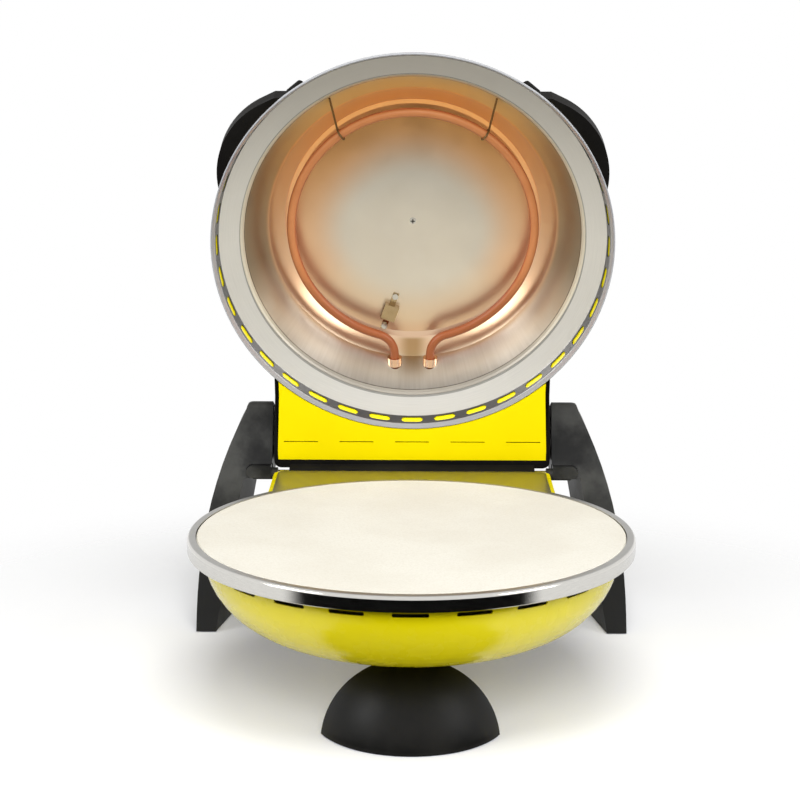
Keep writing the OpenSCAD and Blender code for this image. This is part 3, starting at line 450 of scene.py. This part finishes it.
def dome_normal(finish):
    """The dome's slope, turned back from the closed lid; the last node keeps it true at any pose."""
    across, along, up = lid_frame(finish)
    x, y, z = oval_normal(finish, across, along, up + DOME_DROP, DOME_FLAT, DOME_WIDE, DOME_DEEP)
    opened = finish.join(x, y * math.cos(OPEN_ANGLE) + z * math.sin(OPEN_ANGLE),
                         z * math.cos(OPEN_ANGLE) - y * math.sin(OPEN_ANGLE))
    return finish.node(
        "VectorTransform",
        {"vector_type": "NORMAL", "convert_from": "OBJECT", "convert_to": "WORLD"}, {0: opened})


dress(gloss_enamel("dome_enamel", dome_normal), "upper_shell")

sprayed = Finish("yellow_sprayed_panel")
mist = sprayed.noise(700.0, 2.0)
cloud = sprayed.spread(sprayed.noise(12.0, 2.0), 0.35, 0.65)
dress(sprayed.surface(
    Base_Color=sprayed.blend(cloud, tone("#f8e200"), tone("#fbe700")),
    Roughness=sprayed.spread(mist, 0.3, 0.7, 0.44, 0.52),
    Specular_IOR_Level=0.08,
    Normal=sprayed.bump(mist, 0.06, 0.0002)), "housing_base_panel")


# Rear box, knobs and handle.
# Box, knobs and handle are moulded black plastic, painted a deeper, duller black than the legs:
# painted shade for faces that get less light. The thermostat and timer inside have bodies of grey
# glass-filled plastic, and a red lens covers the lamp.

# Painted shade: a darker, duller black than the legs'.
dress(black_moulding("shaded_black_plastic", "#151413", "#1c1b19", shine=0.02, rough=(0.42, 0.54),
                     shaded_at=0.01, lit_at=0.11),
      "control_housing", "handle", "thermostat_knob", "timer_knob")
dress(mottled("grey_plastic", 200.0, 3.0, ("#b4b1a8", "#c4c1b8"), rough=(0.5, 0.6), relief=(0.1, 0.0003)),
      "thermostat_body", "timer_body")

lens = Finish("red_lens")
facets = lens.cells(700.0)
dress(lens.surface(
    Base_Color=lens.blend(facets, tone("#a01508"), tone("#d8331c")),
    Roughness=0.12,
    Normal=lens.bump(facets, 0.2, 0.0004)), "indicator_lamp")


# Paper floor and flags.
# A round of white paper, tinted cooler close to the oven as a painted offset of the yellow light
# the bowl bounces onto it, that fades out into the room. Flags of black felt, which no camera ray
# meets, darken what the gloss and the steel reflect.

PAPER_RADIUS, PAPER_FADE, COOL_PAPER = 1.5, (0.28, 0.58), (0.08, 0.24)
COOL_WEAVE = (0.84, 0.85, 0.93, 1.0), (0.87, 0.88, 0.96, 1.0)
PLAIN_WEAVE = (0.88, 0.88, 0.88, 1.0)
HIDDEN_WEAVE = (0.62, 0.62, 0.62, 1.0), (0.66, 0.66, 0.66, 1.0)  # for bounced light alone
COOL_HAZE = (0.35, 0.42, 1.0, 1.0)
WHITE = (1.0, 1.0, 1.0, 1.0)


def shown(finish, in_gloss):
    """1 for rays from the camera or through glass, in_gloss for reflections, 0 for bounced light."""
    rays = finish.node("LightPath").socket.node.outputs
    camera, gloss, glass = (
        Wire(finish, rays[f"Is {kind} Ray"]) for kind in ("Camera", "Glossy", "Transmission"))
    return finish.maths("MAXIMUM", camera + gloss * in_gloss, glass)


paper = Finish("white_paper")
fibre = paper.noise(300.0, 2.0)
x, y, z = paper.split(paper.place())
away = reach(x, y)
edge = paper.spread(away, *PAPER_FADE)
# The cool tint near the oven is painted to offset the yellow light bounced from the bowl.
near = paper.spread(away, *COOL_PAPER)
seen = shown(paper, in_gloss=0.25)
weave = paper.node("BsdfDiffuse", {}, {
    "Color": paper.blend(near, paper.blend(fibre, *COOL_WEAVE), PLAIN_WEAVE)})
hidden = paper.node("BsdfDiffuse", {}, {"Color": paper.blend(fibre, *HIDDEN_WEAVE)})
sheet = paper.node("MixShader", {}, {0: seen, 1: hidden, 2: weave})
haze = paper.node("Emission", {}, {"Color": paper.blend(near, COOL_HAZE, WHITE), "Strength": seen * 0.08})
lit = paper.node("AddShader", {}, {0: sheet, 1: haze})
clear = paper.node("BsdfTransparent", {}, {"Color": WHITE})
paper.node("OutputMaterial", {}, {"Surface": paper.node("MixShader", {}, {0: edge, 1: lit, 2: clear})})

felt = Finish("black_felt")
nap = felt.noise(400.0, 2.0)
x, y, z = felt.split(felt.node("TexCoord", out="Generated"))
fringe = felt.spread(reach(x - 0.5, y - 0.5), 0.40, 0.5)
cloth = felt.node("BsdfDiffuse", {}, {"Color": felt.blend(nap, tone("#050505"), tone("#0a0a0a"))})
clear = felt.node("BsdfTransparent", {}, {"Color": WHITE})
felt.node("OutputMaterial", {}, {"Surface": felt.node("MixShader", {}, {0: fringe, 1: cloth, 2: clear})})


def round_sheet(name, material, middle, half_x, half_y, height, tilt=0.0):
    """A flat oval that belongs to the studio."""
    corners = 96
    mesh = bpy.data.meshes.new(name)
    shape = bmesh.new()
    shape.faces.new([
        shape.verts.new((half_x * math.cos(math.tau * k / corners),
                         half_y * math.sin(math.tau * k / corners), 0)) for k in range(corners)])
    shape.to_mesh(mesh)
    shape.free()
    made = bpy.data.objects.new(name, mesh)
    bpy.context.scene.collection.objects.link(made)
    made.location = (*middle, height)
    made.rotation_euler = (tilt, 0, 0)
    mesh.materials.append(material)
    return made


round_sheet("floor", paper.made, (0, 0), PAPER_RADIUS, PAPER_RADIUS, 0.0)
flag_front = round_sheet("flag_front", felt.made, (0.02, AXIS_Y - 0.63), 0.72, 0.45, 0.002)
flag_under = round_sheet("flag_under", felt.made, (0.0, AXIS_Y - 0.17), 0.13, 0.11, 0.003)
flag_back = round_sheet("flag_back", felt.made, (0.0, 1.5), 1.6, 0.7, 1.5, tilt=math.radians(40))
for flag in (flag_front, flag_under, flag_back):
    flag.visible_camera = flag.visible_shadow = flag.visible_transmission = False
flag_under.visible_diffuse = False  # else it would darken the paper in front


# Room and lamps.
# The room is plain white where it shows and dim where it only fills the shadows. The soft lamps
# in front and above are kept out of reflections; the two at the sides give the edges their shine.

room = Finish("studio", "worlds")
white = room.node("Background", {}, {"Color": WHITE, "Strength": 1.0})
fill = room.node("Background", {}, {"Color": WHITE, "Strength": 0.22})
room.node("OutputWorld", {}, {
    "Surface": room.node("MixShader", {}, {0: shown(room, in_gloss=1.0), 1: fill, 2: white})})
bpy.context.scene.world = room.made


def lamp(name, power, size, place, aim):
    data = bpy.data.lights.new(name, "AREA")
    data.energy, data.size = power, size
    made = bpy.data.objects.new(name, data)
    bpy.context.scene.collection.objects.link(made)
    made.location = place
    made.rotation_euler = (Vector(aim) - Vector(place)).to_track_quat("-Z", "Y").to_euler()
    return made


lamp("main", 30, 0.9, (0.12, -1.9, 1.3), (0, 0, 0.15)).visible_glossy = False
lamp("overhead", 22, 1.0, (0.1, -0.8, 1.9), (0, 0, 0.1)).visible_glossy = False
lamp("left", 14, 1.0, (-1.6, -1.0, 1.0), (0, 0, 0.2))
lamp("right", 12, 1.0, (1.6, -1.0, 1.0), (0, 0, 0.2))


# Camera.
# It stands a little over a metre in front of the oven and looks down on it by 11 degrees,
# through a long lens, so that the open lid faces it almost squarely.

EYE = Vector((0.0023, AXIS_Y - 1.3305, 0.4898))
PITCH, YAW, ROLL = math.radians(11.28), math.radians(-0.46), math.radians(0.14)
ahead = Vector((math.sin(YAW) * math.cos(PITCH), math.cos(YAW) * math.cos(PITCH), -math.sin(PITCH)))
side = Vector((math.cos(YAW), -math.sin(YAW), 0.0))
over = side.cross(ahead)
right = side * math.cos(ROLL) + over * math.sin(ROLL)
upward = over * math.cos(ROLL) - side * math.sin(ROLL)
view = bpy.data.cameras.new("camera")
view.lens, view.sensor_width = 85.5, 36.0
camera = bpy.data.objects.new("camera", view)
bpy.context.scene.collection.objects.link(camera)
camera.matrix_world = Matrix.Translation(EYE) @ Matrix((right, upward, -ahead)).transposed().to_4x4()
bpy.context.scene.camera = camera
bpy.context.scene.view_settings.view_transform = "Standard"
